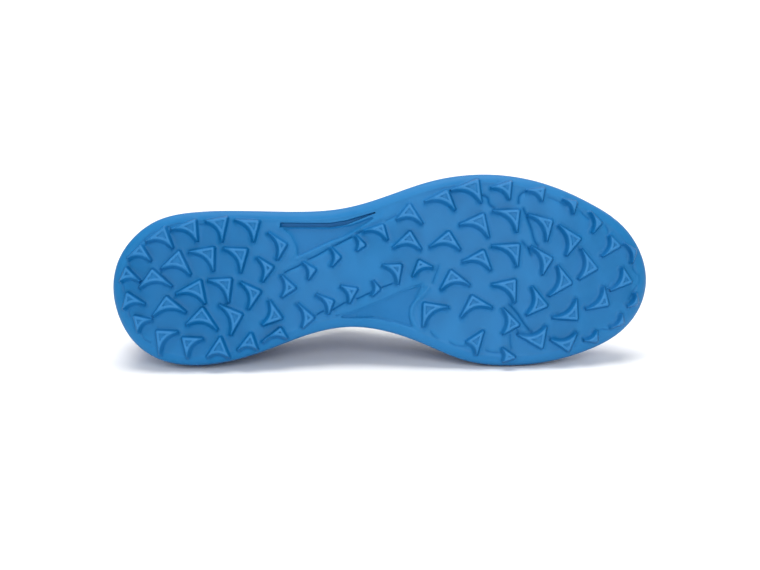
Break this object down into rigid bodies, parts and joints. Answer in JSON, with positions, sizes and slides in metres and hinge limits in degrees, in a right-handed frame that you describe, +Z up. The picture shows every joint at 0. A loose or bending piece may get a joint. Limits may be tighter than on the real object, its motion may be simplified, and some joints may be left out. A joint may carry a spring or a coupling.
{
  "type": "turf shoe",
  "caption": "Right-foot turf shoe lying on its medial side, with an arrowhead-lugged cup outsole, hollow upper, tongue, insole and criss-cross lace.",
  "frame": {"origin": "bottom centre of the lying shoe's box, on the floor under its medial side", "axes": "+X from heel to toe along the longest side, -Y out of the tread, +Z up from the floor"},
  "size_m": [0.29, 0.1092, 0.1017],
  "materials": {
    "blue_rubber": "satin moulded rubber",
    "insole_foam": "matt textile over foam",
    "blue_synthetic": "fine grained synthetic leather",
    "navy_textile": "matt padded textile",
    "lace_cord": "flat woven lace"
  },
  "bodies": {
    "root": {"outsole": "blue_rubber", "insole": "insole_foam", "upper": "blue_synthetic", "tongue": "navy_textile", "lace": "lace_cord"}
  },
  "joints": []
}
